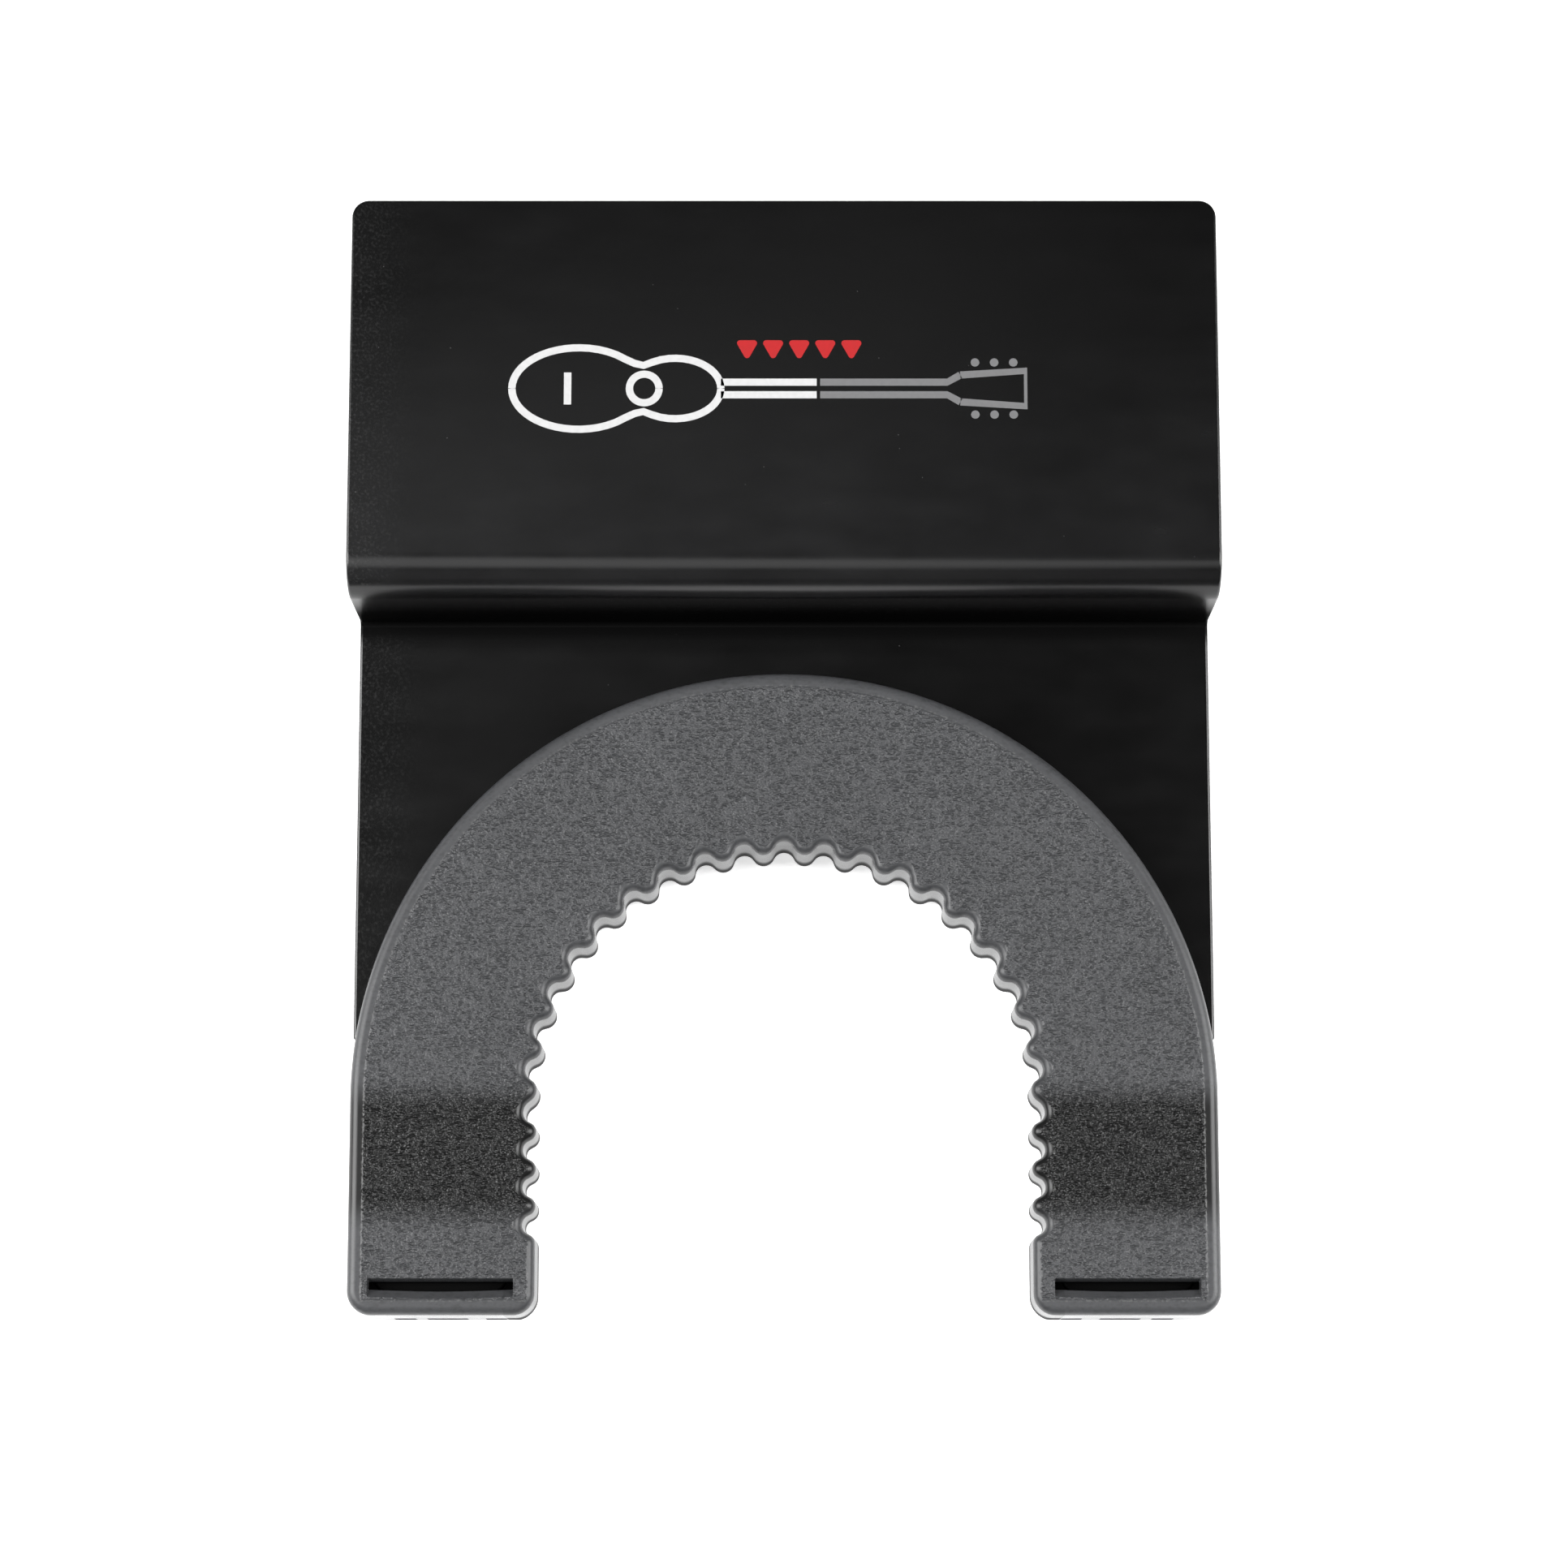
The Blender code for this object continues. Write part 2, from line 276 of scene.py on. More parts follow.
lower_top = plate_low.z + SHEET
raised_top = plate_high.z
half_width = plate_high.x


def arc(centre, radius, start, end, steps):
    """Points on an arc from start to end, in degrees, both ends included."""
    angles = [math.radians(start + (end - start) * i / steps) for i in range(steps + 1)]
    return [(centre[0] + radius * math.cos(a), centre[1] + radius * math.sin(a)) for a in angles]


def mirrored(points):
    return [(-x, y) for x, y in reversed(points)]


def fork_outline(clearance, rear):
    """Plan of the sheet from its fork to a rear edge, measured from the round end's centre."""
    half = half_width + clearance
    outer = FORK_OUTER + clearance
    inner = FORK_INNER - clearance
    corner = FORK_CORNER + clearance
    tip = plate_low.y - round_end_y - clearance
    shoulder = SHOULDER - clearance
    shoulder_angle = math.degrees(math.asin(shoulder / outer))
    right = [(half, shoulder), *arc((0, 0), outer, shoulder_angle, 0, 4)]
    right += arc((outer - corner, tip + corner), corner, 0, -90, 8)
    right += arc((inner + corner, tip + corner), corner, -90, -180, 8)
    rear_right = arc((half - REAR_CORNER, rear - REAR_CORNER), REAR_CORNER, 90, 0, 12)
    return right + arc((0, 0), inner, 0, 180, 96) + mirrored(right) + mirrored(rear_right) + rear_right


def bent(along):
    """Where a point at this length of the flat blank comes to lie, as (y, z), on the top face."""
    first_flat = STEP_FRONT - LOWER_BEND
    wall = raised_top - lower_top - UPPER_BEND - LOWER_BEND
    first_arc = LOWER_BEND * math.pi / 2
    second_arc = UPPER_BEND * math.pi / 2
    rest = along - first_flat
    if rest <= 0:
        return along, lower_top
    if rest <= first_arc:
        turn = rest / LOWER_BEND
        height = lower_top + LOWER_BEND * (1 - math.cos(turn))
        return first_flat + LOWER_BEND * math.sin(turn), height
    rest -= first_arc
    if rest <= wall:
        return STEP_FRONT, lower_top + LOWER_BEND + rest
    rest -= wall
    if rest <= second_arc:
        turn = rest / UPPER_BEND
        height = raised_top - UPPER_BEND * (1 - math.sin(turn))
        return STEP_FRONT + UPPER_BEND * (1 - math.cos(turn)), height
    return STEP_FRONT + UPPER_BEND + rest - second_arc, raised_top


def bend_lines():
    """Lengths along the blank at which it is divided, so that it can bend."""
    first = STEP_FRONT - LOWER_BEND
    first_arc = LOWER_BEND * math.pi / 2
    second = first + first_arc + raised_top - lower_top - UPPER_BEND - LOWER_BEND
    lines = [first + first_arc * i / BEND_STEPS for i in range(BEND_STEPS + 1)]
    return lines + [second + UPPER_BEND * math.pi / 2 * i / BEND_STEPS for i in range(BEND_STEPS + 1)]


def apply_modifiers(piece):
    """Turns the piece's modifiers into its mesh."""
    graph = bpy.context.evaluated_depsgraph_get()
    finished = bpy.data.meshes.new_from_object(piece.evaluated_get(graph))
    piece.modifiers.clear()
    piece.data = finished


def soften(piece, radius, segments=3, angle=40):
    """Rounds the piece's sharp edges, and keeps its flats flat in the shading."""
    bevel = piece.modifiers.new("rounded_edges", "BEVEL")
    bevel.width = radius
    bevel.segments = segments
    bevel.limit_method = "ANGLE"
    bevel.angle_limit = math.radians(angle)
    bevel.harden_normals = True
    piece.data.shade_smooth()


raised_length = plate_high.y - round_end_y - STEP_FRONT - UPPER_BEND
blank_end = bend_lines()[-1] + raised_length
blank = bmesh.new()
blank.faces.new([blank.verts.new((x, y, 0)) for x, y in fork_outline(0, blank_end)])
for line in bend_lines():
    everything = blank.verts[:] + blank.edges[:] + blank.faces[:]
    bmesh.ops.bisect_plane(blank, geom=everything, plane_co=(0, line, 0), plane_no=(0, 1, 0))
for vertex in blank.verts:
    y, z = bent(vertex.co.y)
    vertex.co = (vertex.co.x, y + round_end_y, z)
bmesh.ops.recalc_face_normals(blank, faces=blank.faces)
if next(iter(blank.faces)).normal.z < 0:
    bmesh.ops.reverse_faces(blank, faces=blank.faces)
bracket = to_object("bracket_sheet", blank)
thickness = bracket.modifiers.new("thickness", "SOLIDIFY")
thickness.thickness = SHEET
thickness.offset = -1
apply_modifiers(bracket)
soften(bracket, SHEET_EDGE)

DEEP_BLACK = (0.0004, 0.0004, 0.0004)
HAZE_AND_SHEEN_BLACK = (0.009, 0.009, 0.0093)
DUST_GREY = (0.14, 0.14, 0.14)
PAINTED_SHEEN_FADE = (-8 * MM, 38 * MM)  # behind the step's front, where the painted sheen on the raised plate fades out
LEFT_GLINT_REACH = (0.5 * MM, 9 * MM)  # from the left edge, where the painted glints thin out
CORNER_SHADE = (1.0 * MM, 3.2 * MM)  # how far the painted shade, matt black, in the step's inner corner reaches
coat = Finish("black_powder_coat", Metallic=0.0, Specular_IOR_Level=0.5)
step_y = round_end_y + STEP_FRONT
sideways = coat.coordinate("X")
back = coat.coordinate("Y")
above = coat.coordinate("Z") - lower_top
haze = coat.noise(30 * MM, detail=4, roughness=0.6)
smears = coat.noise(4 * MM, detail=3, stretch=2.5)
raised = above.between(10 * MM, 14 * MM)
# Haze and painted sheen: a faint haze everywhere, and a painted sheen that makes the raised plate
# lighter near the step, fading towards its rear, and lighter towards the left.
haze_and_painted_sheen = raised * (1 - back.between(step_y + PAINTED_SHEEN_FADE[0], step_y + PAINTED_SHEEN_FADE[1]) * 0.9) + 0.05
haze_and_painted_sheen = haze_and_painted_sheen * (1 - sideways.between(-half_width, half_width) * 0.5) * (haze + smears)
# Painted highlight: fine lighter specks along the left edge only.
left_edge = 1 - (sideways + half_width).between(*LEFT_GLINT_REACH)
painted_left_edge_glints = coat.noise(0.32 * MM).between(0.45, 0.8) * left_edge * 0.1
dust = coat.specks(spacing=2.6 * MM, radius=0.1 * MM, share=0.35) * 0.35 + painted_left_edge_glints
coat.set(Base_Color=coat.blend(dust, coat.blend(haze_and_painted_sheen, DEEP_BLACK, HAZE_AND_SHEEN_BLACK), DUST_GREY))
coat.set(Roughness=haze * 0.08 + smears * 0.1 + 0.15)
coat.bump(coat.noise(1.1 * MM), 0.004 * MM)
# Painted shade, matt black: in the step's inner corner, and on the steel inside the boot that shows
# through the slits.
from_corner = above * 0.28 + (step_y - back).most(0.0)
in_boot = 1 - back.between(round_end_y - 8 * MM, round_end_y - 6 * MM)
unlit = (1 - from_corner.between(*CORNER_SHADE)).most(in_boot) * 0.94
painted_shade_black_coat = (0.0035, 0.0035, 0.0035, 1)
coat.cover(unlit, Base_Color=painted_shade_black_coat, Roughness=0.9, Specular_IOR_Level=0.0)
bracket.data.materials.append(coat.material)
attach(bracket, "root")
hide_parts("bracket_plate")


# ---------------------------------------------------------------------------------------------
# Printed mark. Two-tone screen print on the raised plate, 59 mm wide: a guitar in outline,
# its body in white and its neck in grey, with a row of small red plectrums. No lettering.
# ---------------------------------------------------------------------------------------------
MARK_WIDTH = 59.5 * MM
MARK_HEIGHT = 11.0 * MM
MARK_MIDDLE = (-1.5 * MM, plate_high.y - 22.0 * MM)
INK = 0.03 * MM
LINE = 0.85 * MM


def ink(name, shapes, finish):
    """One printed colour, from closed outlines given from the mark's lower left corner."""
    mesh = bmesh.new()
    left = MARK_MIDDLE[0] - MARK_WIDTH / 2
    low = MARK_MIDDLE[1] - MARK_HEIGHT / 2
    for shape in shapes:
        bottom = [mesh.verts.new((left + x, low + y, raised_top + INK / 3)) for x, y in shape]
        mesh.faces.new(bottom)
    made = bmesh.ops.extrude_face_region(mesh, geom=mesh.faces[:])["geom"]
    moved = [v for v in made if isinstance(v, bmesh.types.BMVert)]
    bmesh.ops.translate(mesh, verts=moved, vec=(0, 0, INK))
    bmesh.ops.recalc_face_normals(mesh, faces=mesh.faces)
    piece = to_object(name, mesh)
    piece.data.materials.append(finish.material)
    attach(piece, "root")


def stroke(points):
    """The outline of a line drawn through points with the mark's pen."""
    sides = ([], [])
    for i, (x, y) in enumerate(points):
        before = points[max(i - 1, 0)]
        after = points[min(i + 1, len(points) - 1)]
        run, rise = after[0] - before[0], after[1] - before[1]
        length = math.hypot(run, rise)
        for side, edge in zip((1, -1), sides):
            away = side * LINE / 2 / length
            edge.append((x - rise * away, y + run * away))
    return sides[0] + sides[1][::-1]


def ink_finish(name, colour):
    """Matt ink that has worn a little darker in places."""
    made = Finish(name)
    ink_wear_and_painted_arm_shade = made.noise(0.6 * MM, detail=3)
    made.set(Base_Color=made.blend(ink_wear_and_painted_arm_shade.between(0.3, 0.8), colour, tuple(c * 0.9 for c in colour)))
    made.set(Roughness=ink_wear_and_painted_arm_shade * 0.15 + 0.4)
    return made


AXIS_Y = MARK_HEIGHT * 0.44
BODY_END = 24 * MM  # all distances along the guitar are from its tail
LOWER_BOUT = (0.32, 0.32, 4.85 * MM)  # middle and half length as shares of the body, half height
UPPER_BOUT = (0.78, 0.22, 3.6 * MM)
WAIST = (0.6, 0.09, 3.05 * MM)
HOLE_X, HOLE_RADIUS = 15.2 * MM, 1.7 * MM
BRIDGE_X, BRIDGE_HALF = 6.4 * MM, 1.9 * MM
NECK_HALF = 0.75 * MM
WHITE_END, GREY_START = 35 * MM, 35.4 * MM
NUT_X = 50 * MM
HEAD_START = (51.5 * MM, 1.6 * MM)  # distance and half height
HEAD_END = (59 * MM, 2.1 * MM)
PEGS_X = (53.2 * MM, 55.4 * MM, 57.6 * MM)
PEG_OFF_AXIS, PEG_RADIUS = 3.1 * MM, 0.5 * MM


def bout(share, middle, half_length, half_height):
    return half_height * math.sqrt(max(0.0, 1 - ((share - middle) / half_length) ** 2))


def body_half_height(x):
    """Half the height of the guitar's body at this distance: two bouts and a waist."""
    share = x / BODY_END
    middle, half_length, half_height = WAIST
    waist = half_height * math.exp(-(((share - middle) / half_length) ** 2))
    return max(bout(share, *LOWER_BOUT), bout(share, *UPPER_BOUT), waist)


tail_to_neck = [BODY_END * (1 - math.cos(math.radians(a))) / 2 for a in range(0, 181, 5)]
white_lines = [[(x, AXIS_Y + side * body_half_height(x)) for x in tail_to_neck] for side in (1, -1)]
white_lines.append(arc((HOLE_X, AXIS_Y), HOLE_RADIUS, 0, 360, 36))
white_lines.append([(BRIDGE_X, AXIS_Y - BRIDGE_HALF), (BRIDGE_X, AXIS_Y + BRIDGE_HALF)])
grey_lines = []
for side in (1, -1):
    line_y = AXIS_Y + side * NECK_HALF
    head = (HEAD_START[0], AXIS_Y + side * HEAD_START[1])
    white_lines.append([(BODY_END, line_y), (WHITE_END, line_y)])
    grey_lines.append([(GREY_START, line_y), (NUT_X, line_y), head])
head_outline = (HEAD_START, HEAD_END, (HEAD_END[0], -HEAD_END[1]), (HEAD_START[0], -HEAD_START[1]))
grey_lines.append([(x, AXIS_Y + y) for x, y in head_outline])
pegs = [
    arc((x, AXIS_Y + side * PEG_OFF_AXIS), PEG_RADIUS, 0, 350, 12) for x in PEGS_X for side in (-1, 1)
]
white_ink = ink_finish("white_ink", (0.52, 0.52, 0.52))
grey_ink = ink_finish("grey_ink", (0.145, 0.145, 0.148))
red_ink = ink_finish("red_ink", (0.38, 0.006, 0.008))
ink("mark_guitar_body", [stroke(line) for line in white_lines], white_ink)
ink("mark_guitar_neck", [stroke(line) for line in grey_lines] + pegs, grey_ink)

PLECTRUM_SIZE = 2.3 * MM
PLECTRUM_PITCH = 3.0 * MM
FIRST_PLECTRUM = (27 * MM, 9.6 * MM)


def plectrum(x, y):
    """A triangle, point down, with round corners whose centres lie 0.7 of the way to its corners."""
    points = []
    for out_x, out_y, start in ((-0.5, 0.4, 90), (0, -0.5, 210), (0.5, 0.4, 330)):
        centre = (x + out_x * 0.7 * PLECTRUM_SIZE, y + out_y * 0.7 * PLECTRUM_SIZE)
        points += arc(centre, PLECTRUM_SIZE * 0.15, start, start + 120, 6)
    return points


row = [plectrum(FIRST_PLECTRUM[0] + PLECTRUM_PITCH * i, FIRST_PLECTRUM[1]) for i in range(5)]
ink("mark_plectrums", row, red_ink)


# ---------------------------------------------------------------------------------------------
# Boot. One piece of grey rubber, moulded as a horseshoe with a flat pocket, and pulled on
# over the fork. Its faces have a fine leather grain, and its rim, walls and scallops are smooth.
# ---------------------------------------------------------------------------------------------
MOUTH_RADIUS = 28.5 * MM  # at the scallops' tips
SCALLOP_DEPTH = 1.5 * MM
HALF_SCALLOP_ANGLE = math.radians(4.64)
HALF_SCALLOPS_ON_ARC = 19
FIRST_ARM_VALLEY = 1.75 * MM
HALF_SCALLOP_ON_ARM = 2.15 * MM
HALF_SCALLOPS_ON_ARM = 7
HALF_SCALLOP_POINTS = 12
OUTER_CORNER = 2.8 * MM
INNER_CORNER = 2.5 * MM
FRONT_FILLET = 1.15 * MM
SCALLOP_FILLET = 0.95 * MM  # a little less than the radius of the scallops' tips
REAR_FILLET = 2.0 * MM
MOUTH_REAR_ROUNDING = 4.8 * MM  # height of the rounding at the mouth's rear edge
POCKET_GAP = 0.08 * MM  # the rubber grips the steel, so hardly a gap is left
POCKET_REAR = 60 * MM  # behind the round end's centre, well outside the boot
REAR_STEPS = 12
FRONT_STEPS = 7

boot_tip = boot_low.y - round_end_y


def scallop(distance, half_pitch):
    """How far the edge has come forward, this far along from a scallop's bottom to its tip.

    The edge is two equal arcs, one hollow and one round, that meet half way.
    """
    radius = (half_pitch**2 + SCALLOP_DEPTH**2) / (4 * SCALLOP_DEPTH)
    from_end = min(distance, half_pitch - distance)
    rise = radius - math.sqrt(radius**2 - from_end**2)
    return rise if from_end == distance else SCALLOP_DEPTH - rise


def scalloped_edge(outwards):
    """The mouth's edge, moved outwards, from the left arm's plain end round to the right arm's."""
    mean = MOUTH_RADIUS + SCALLOP_DEPTH / 2
    arc_end = mean * math.pi / 2
    stations = [mean * HALF_SCALLOP_ANGLE * i for i in range(HALF_SCALLOPS_ON_ARC + 1)]
    first_valley = arc_end + FIRST_ARM_VALLEY
    stations += [first_valley + HALF_SCALLOP_ON_ARM * i for i in range(HALF_SCALLOPS_ON_ARM + 1)]
    right = []
    for i, (start, end) in enumerate(zip(stations, stations[1:])):
        for j in range(HALF_SCALLOP_POINTS):
            distance = (end - start) * j / HALF_SCALLOP_POINTS
            forward = scallop(distance, end - start)
            radius = MOUTH_RADIUS + outwards + (forward if i % 2 else SCALLOP_DEPTH - forward)
            if start + distance <= arc_end:
                angle = math.pi / 2 - (start + distance) / mean
                right.append((radius * math.cos(angle), radius * math.sin(angle)))
            else:
                right.append((radius, arc_end - start - distance))
    right.append((MOUTH_RADIUS + outwards, arc_end - stations[-1]))
    right.append((MOUTH_RADIUS + outwards, arc_end - stations[-1] - 1 * MM))
    return mirrored(right[1:]) + right


def set_back(line, inset):
    """A line moved sideways by an inset, towards the left of its run."""
    moved = []
    for i, (x, y) in enumerate(line):
        before = line[max(i - 1, 0)]
        after = line[min(i + 1, len(line) - 1)]
        run, rise = after[0] - before[0], after[1] - before[1]
        length = math.hypot(run, rise)
        moved.append((x - inset * rise / length, y + inset * run / length))
    return moved


def boot_outline(inset, mouth_inset, mouth):
    """Plan of the boot, shrunk by an inset outside, round a mouth's edge with its own inset."""
    outer_middle = (boot_radius - OUTER_CORNER, boot_tip + OUTER_CORNER)
    right = arc(outer_middle, OUTER_CORNER - inset, 0, -90, 14)
    for x, y in arc((0, 0), 1, -90, -180, 14):
        across = MOUTH_RADIUS + INNER_CORNER + (INNER_CORNER - mouth_inset) * x
        right.append((across, boot_tip + INNER_CORNER + (INNER_CORNER - inset) * y))
    return right + mouth[::-1] + mirrored(right) + arc((0, 0), boot_radius - inset, 180, 0, 160)


def rear_inset(height, rounding):
    """How far a rounding of the rear edge sets the boot's side back, at a height above the rear."""
    below = max(0.0, 1 - height / rounding)
    return REAR_FILLET * (1 - math.sqrt(1 - below**2))


def loft(name, rings):
    """A closed body through rings of points that have the same number each."""
    mesh = bmesh.new()
    loops = [[mesh.verts.new(point) for point in ring] for ring in rings]
    for low, high in zip(loops, loops[1:]):
        for i in range(len(low)):
            j = (i + 1) % len(low)
            mesh.faces.new((low[i], low[j], high[j], high[i]))
    mesh.faces.new(loops[0][::-1])
    mesh.faces.new(loops[-1])
    bmesh.ops.recalc_face_normals(mesh, faces=mesh.faces)
    return to_object(name, mesh)


def at_height(outline, z):
    return [(x, y + round_end_y, z) for x, y in outline]


def cut(piece, tool):
    """Takes the tool's shape out of the piece, and removes the tool."""
    modifier = piece.modifiers.new("cut", "BOOLEAN")
    modifier.operation = "DIFFERENCE"
    modifier.solver = "EXACT"
    modifier.object = tool
    apply_modifiers(piece)
    bpy.data.objects.remove(tool)


rings = []
for step in range(REAR_STEPS + 1):
    height = MOUTH_REAR_ROUNDING * (1 - math.cos(math.radians(90 * step / REAR_STEPS)))
    mouth_inset = rear_inset(height, MOUTH_REAR_ROUNDING)
    outline = boot_outline(rear_inset(height, REAR_FILLET), mouth_inset, scalloped_edge(mouth_inset))
    rings.append(at_height(outline, boot_low.z + height))
front_edge = scalloped_edge(0)
for step in range(FRONT_STEPS + 1):
    turn = math.radians(90 * step / FRONT_STEPS)
    share = 1 - math.cos(turn)
    mouth_inset = SCALLOP_FILLET * share
    outline = boot_outline(FRONT_FILLET * share, mouth_inset, set_back(front_edge, mouth_inset))
    rings.append(at_height(outline, boot_high.z - FRONT_FILLET * (1 - math.sin(turn))))
boot = loft("yoke_boot_moulding", rings)

pocket = fork_outline(POCKET_GAP, POCKET_REAR)
pocket_heights = (plate_low.z - POCKET_GAP, lower_top + POCKET_GAP)
cut(boot, loft("pocket", [at_height(pocket, z) for z in pocket_heights]))

SLOT_LENGTH = 16.7 * MM
SLOT_WIDTH = 2.65 * MM
SLIT_LENGTH = 16.55 * MM
SLIT_WIDTH = 0.9 * MM
SLOT_DEPTH = 1.0 * MM
SLOT_BROW = 0.8 * MM  # the rear slope is shallow as far as this from the slot's middle
SLOT_BROW_DEPTH = 0.2 * MM
SLOT_TO_TIP = 3.4 * MM
SLOT_BOW = 0.22 * MM  # of its lower side, in the middle
SLOT_BOW_STEPS = 12
SLOT_CORNER = 0.12 * MM
arm_middle = (MOUTH_RADIUS + boot_radius) / 2


def slot_ring(side, length, low, high, z):
    """A long rectangle with small round corners, whose side at the arm's tip bows out a little."""
    points = []
    for cx, cy, start in ((1, high, 0), (-1, high, 90), (-1, low, 180), (1, low, 270)):
        centre = (cx * (length / 2 - SLOT_CORNER), cy - math.copysign(SLOT_CORNER, cy))
        points += arc(centre, SLOT_CORNER, start, start + 90, 3)
        if start == 180:
            for i in range(1, SLOT_BOW_STEPS):
                share = i / SLOT_BOW_STEPS
                points.append((length * (share - 0.5), low - SLOT_BOW * math.sin(math.pi * share)))
    middle_y = boot_tip + SLOT_TO_TIP
    return at_height([(side * arm_middle + x, middle_y + y) for x, y in points], z)


RECESSES = ((-7.1 * MM, -4.7 * MM), (-2.6 * MM, 2.1 * MM), (3.4 * MM, 5.9 * MM))  # from the arm's middle
RECESS_DEPTH = 4.0 * MM
RECESS_HEIGHT = 2.5 * MM
RECESS_TO_FILLET = 0.5 * MM
BEYOND = 0.5 * MM  # how far the cutting shapes stand out of the rubber
slit, lip = SLIT_WIDTH / 2, SLOT_WIDTH / 2
slope = (lip - slit) / SLOT_DEPTH
brow_slope = (lip - SLOT_BROW) / SLOT_BROW_DEPTH
brow_low = slope * SLOT_BROW_DEPTH - lip
over_lips = (-lip - slope * BEYOND, lip + brow_slope * BEYOND)
for side in (-1, 1):
    rings = [
        slot_ring(side, SLIT_LENGTH, -slit, slit, lower_top + POCKET_GAP / 2),
        slot_ring(side, SLIT_LENGTH, -slit, slit, boot_high.z - SLOT_DEPTH),
        slot_ring(side, SLOT_LENGTH, brow_low, SLOT_BROW, boot_high.z - SLOT_BROW_DEPTH),
        slot_ring(side, SLOT_LENGTH, *over_lips, boot_high.z + BEYOND),
    ]
    cut(boot, loft("slot", rings))
    for edges in RECESSES:
        low_x, high_x = sorted(side * (arm_middle + edge) for edge in edges)
        start, end = boot_tip - BEYOND, boot_tip + RECESS_DEPTH
        outline = [(low_x, start), (high_x, start), (high_x, end), (low_x, end)]
        foot = boot_low.z + REAR_FILLET + RECESS_TO_FILLET
        cut(boot, loft("recess", [at_height(outline, foot), at_height(outline, foot + RECESS_HEIGHT)]))
boot.data.shade_smooth()
boot.data.set_sharp_from_angle(angle=math.radians(35))
keep_flat = boot.modifiers.new("keep_flat", "WEIGHTED_NORMAL")
keep_flat.keep_sharp = True

RIM = 0.45 * MM  # smooth margin inside the fillet
GRAIN_TO_TIPS = 0.75 * MM  # from the scallops' tips back to the grain
GRAIN_WAVE = 0.85 * MM  # how far the grain's edge follows the scallops, to each side
GRAIN_DEPTH = 0.34 * MM
SHADE_BAND_FRONT = (-15.8 * MM, -11.5 * MM)  # the painted shade band across each arm fades in, from the round end's centre, and fades out
SHADE_BAND_REAR = (-1.5 * MM, 2.5 * MM)  # end's centre, and fades out
DARK_GREY, LIGHT_GREY = (0.027, 0.028, 0.029), (0.066, 0.067, 0.071)
SHADE_BAND_GREY = (0.004, 0.004, 0.004)
SPECK_GREY = (0.22, 0.22, 0.21)
MOUTH_WALL = (3.5 * MM, 3.6 * MM)  # outside the scallops' tips
REAR_SHADE = (5.0 * MM, 7.0 * MM)  # height on the mouth's wall up to which painted shade, matt and dark, covers it
SLIT_SIDES = (1.35 * MM, 1.45 * MM)  # from the slot's middle line
SLIT_TOP = (10.4 * MM, 11.1 * MM)  # height of the slit's upper edges
rubber = Finish("grey_boot_rubber", Metallic=0.0, Specular_IOR_Level=0.45)
across = abs(rubber.coordinate("X"))
along = rubber.coordinate("Y") - round_end_y
radius_here = (across * across + along.most(0.0) * along.most(0.0)) ** 0.5
on_arc = 1 - (along < 0.0)
arc_phase = across.turned_from(along) * (1 / HALF_SCALLOP_ANGLE)
arm_phase = (FIRST_ARM_VALLEY + along) * (-1 / HALF_SCALLOP_ON_ARM) + (HALF_SCALLOPS_ON_ARC + 1)
last_tip = HALF_SCALLOPS_ON_ARC + 1 + HALF_SCALLOPS_ON_ARM
phase = arc_phase * on_arc + arm_phase.least(last_tip) * (1 - on_arc)
grain_edge = (phase * math.pi).cosine() * GRAIN_WAVE + (MOUTH_RADIUS + GRAIN_TO_TIPS + GRAIN_WAVE)
from_rim = (boot_radius - radius_here).least(along - boot_tip) - (FRONT_FILLET + RIM)
margin = from_rim.least(radius_here - grain_edge)
# Painted shade: a dark band across each arm, laid into the rubber's colour.
ink_wear_and_painted_arm_shade = along.between(*SHADE_BAND_FRONT) * (1 - along.between(*SHADE_BAND_REAR))
normal = rubber.node("ShaderNodeNewGeometry", output="Normal")
facing = abs(rubber.node("ShaderNodeSeparateXYZ", inputs={"Vector": normal}, output="Z"))
in_front = facing.between(0.9, 0.99)
field = margin.between(0.0, 0.3 * MM) * in_front
wrinkles = 1 - abs(rubber.noise(0.7 * MM, roughness=0.6, stretch=1.5) * 2 - 1)
pits = rubber.noise(0.38 * MM)
grain = wrinkles.between(0.55, 1.0) * 0.6 + pits * 0.4
rubber.bump(grain * field + (1 - field) * 0.45, GRAIN_DEPTH)
tone = rubber.noise(12 * MM, detail=3)
# Lighter specks along the grain's edge, and scattered lint.
seam = margin.between(-0.2 * MM, 0.0) * (1 - margin.between(0.0, 0.2 * MM)) * in_front
lint_and_seam_specks = rubber.specks(spacing=4.5 * MM, radius=0.12 * MM, share=0.3) * 0.5
lint_and_seam_specks = lint_and_seam_specks + seam * pits.between(0.45, 0.7) * 0.25
colour = rubber.blend(tone * 0.4 + grain * 0.6, DARK_GREY, LIGHT_GREY)
rubber.set(Base_Color=rubber.blend(lint_and_seam_specks, rubber.blend(ink_wear_and_painted_arm_shade, colour, SHADE_BAND_GREY), SPECK_GREY))
smudges = rubber.noise(1.5 * MM)
rubber.set(Roughness=0.18 + facing.between(0.1, 0.9) * 0.2 + smudges * 0.06 - ink_wear_and_painted_arm_shade * 0.06)
height = rubber.coordinate("Z") - boot_low.z
in_mouth = (1 - (radius_here - MOUTH_RADIUS).between(*MOUTH_WALL)) * (1 - facing.between(0.8, 0.95))
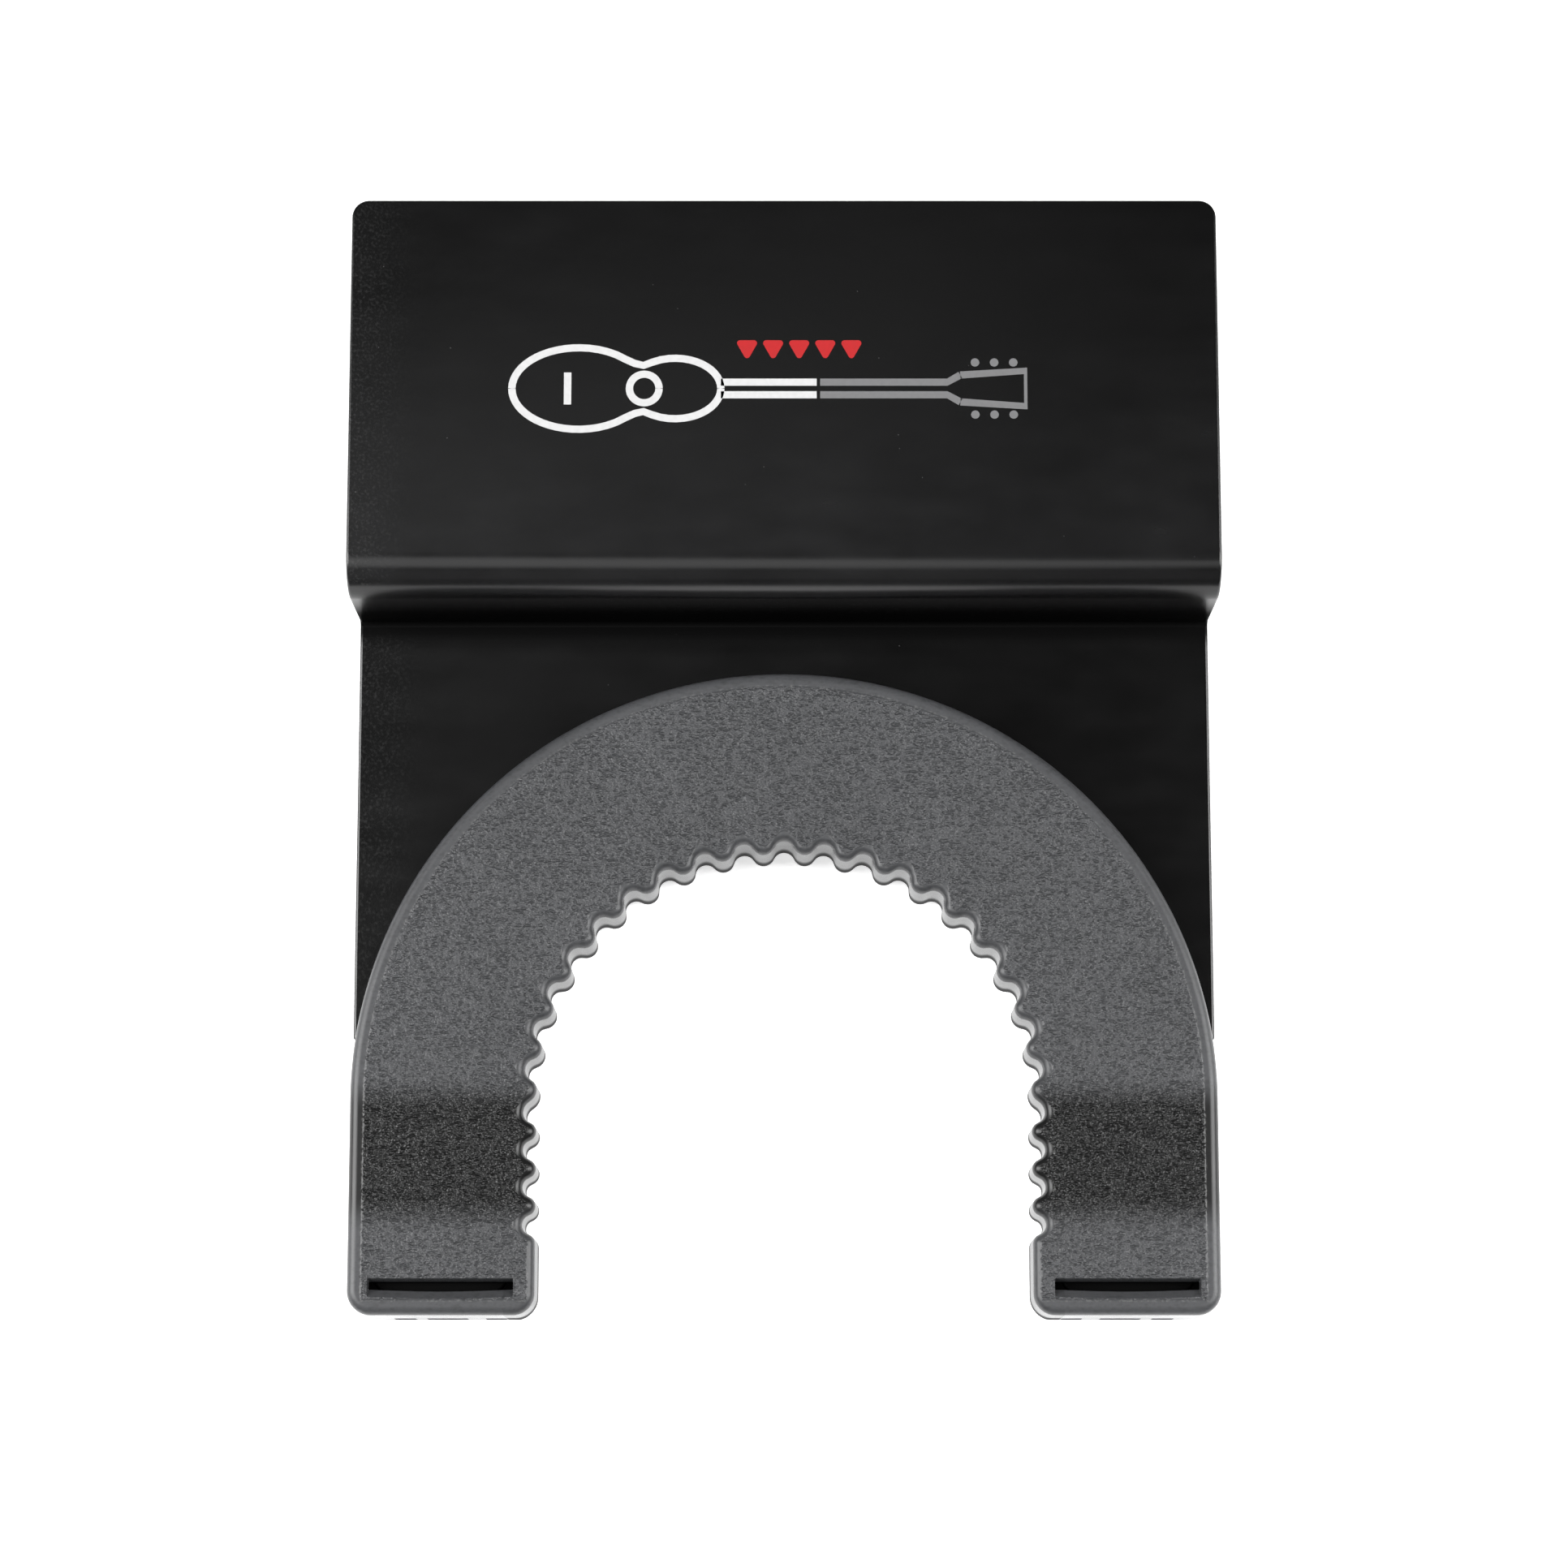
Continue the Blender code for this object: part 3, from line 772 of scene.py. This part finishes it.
# Painted shade, matt black: a contact shadow low on the mouth's walls, a faint veil over the rest of
# them, and the depths of the slits.
mouth_shade = ((1 - height.between(*REAR_SHADE)) * 0.7 + 0.15) * in_mouth
off_middle = abs(along - (boot_tip + SLOT_TO_TIP))
off_slot = off_middle.most(abs(across - arm_middle) * (SLOT_WIDTH / SLOT_LENGTH))
in_slit = (1 - off_slot.between(*SLIT_SIDES)) * (1 - height.between(*SLIT_TOP))
painted_shade_black_rubber = (0.002, 0.002, 0.002, 1)
rubber.cover(mouth_shade.most(in_slit), Base_Color=painted_shade_black_rubber, Roughness=0.9, Specular_IOR_Level=0.0)
boot.data.materials.append(rubber.material)
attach(boot, "root")
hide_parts("yoke_boot")


# ---------------------------------------------------------------------------------------------
# Pad and bumper. Anti-slip sheet rubber, cut to shape and stuck on: one under the raised
# plate, which lies on the shelf, and a strip behind the step, against the shelf's edge.
# ---------------------------------------------------------------------------------------------
PAD_CORNER = 3.0 * MM
BUMPER_CORNER = 0.6 * MM
PAD_EDGE = 0.2 * MM


def rounded_rectangle(low, high, corner):
    return (
        arc((high[0] - corner, low[1] + corner), corner, -90, 0, 8)
        + arc((high[0] - corner, high[1] - corner), corner, 0, 90, 8)
        + arc((low[0] + corner, high[1] - corner), corner, 90, 180, 8)
        + arc((low[0] + corner, low[1] + corner), corner, 180, 270, 8)
    )


KNOB_PITCH = 0.8 * MM
KNOB_HEIGHT = 0.08 * MM
anti_slip = Finish("black_pad_rubber", Metallic=0.0, Specular_IOR_Level=0.35)
clouds = anti_slip.noise(8 * MM, detail=3)
anti_slip.set(Base_Color=anti_slip.blend(clouds, (0.014, 0.014, 0.015), (0.024, 0.024, 0.025)))
anti_slip.set(Roughness=0.72 + anti_slip.noise(3 * MM) * 0.15)
cells = {"Vector": anti_slip.places(), "Scale": 1 / KNOB_PITCH}
from_knob = anti_slip.node("ShaderNodeTexVoronoi", {"feature": "F1"}, cells, "Distance")
anti_slip.bump(1 - from_knob.between(0.1, 0.6), KNOB_HEIGHT)

pad_low, pad_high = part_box("raised_plate_pad")
pad_plan = rounded_rectangle(pad_low.xy, pad_high.xy, PAD_CORNER)
pad = loft("anti_slip_pad", [[(x, y, z) for x, y in pad_plan] for z in (pad_low.z, pad_high.z)])
bumper_low, bumper_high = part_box("step_bumper")
strip = rounded_rectangle(bumper_low.xz, bumper_high.xz, BUMPER_CORNER)
bumper = loft("step_strip", [[(x, y, z) for x, z in strip] for y in (bumper_low.y, bumper_high.y)])
for piece, node in ((pad, "raised_plate_pad"), (bumper, "step_bumper")):
    soften(piece, PAD_EDGE, 2)
    piece.data.materials.append(anti_slip.material)
    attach(piece, "root")
    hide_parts(node)
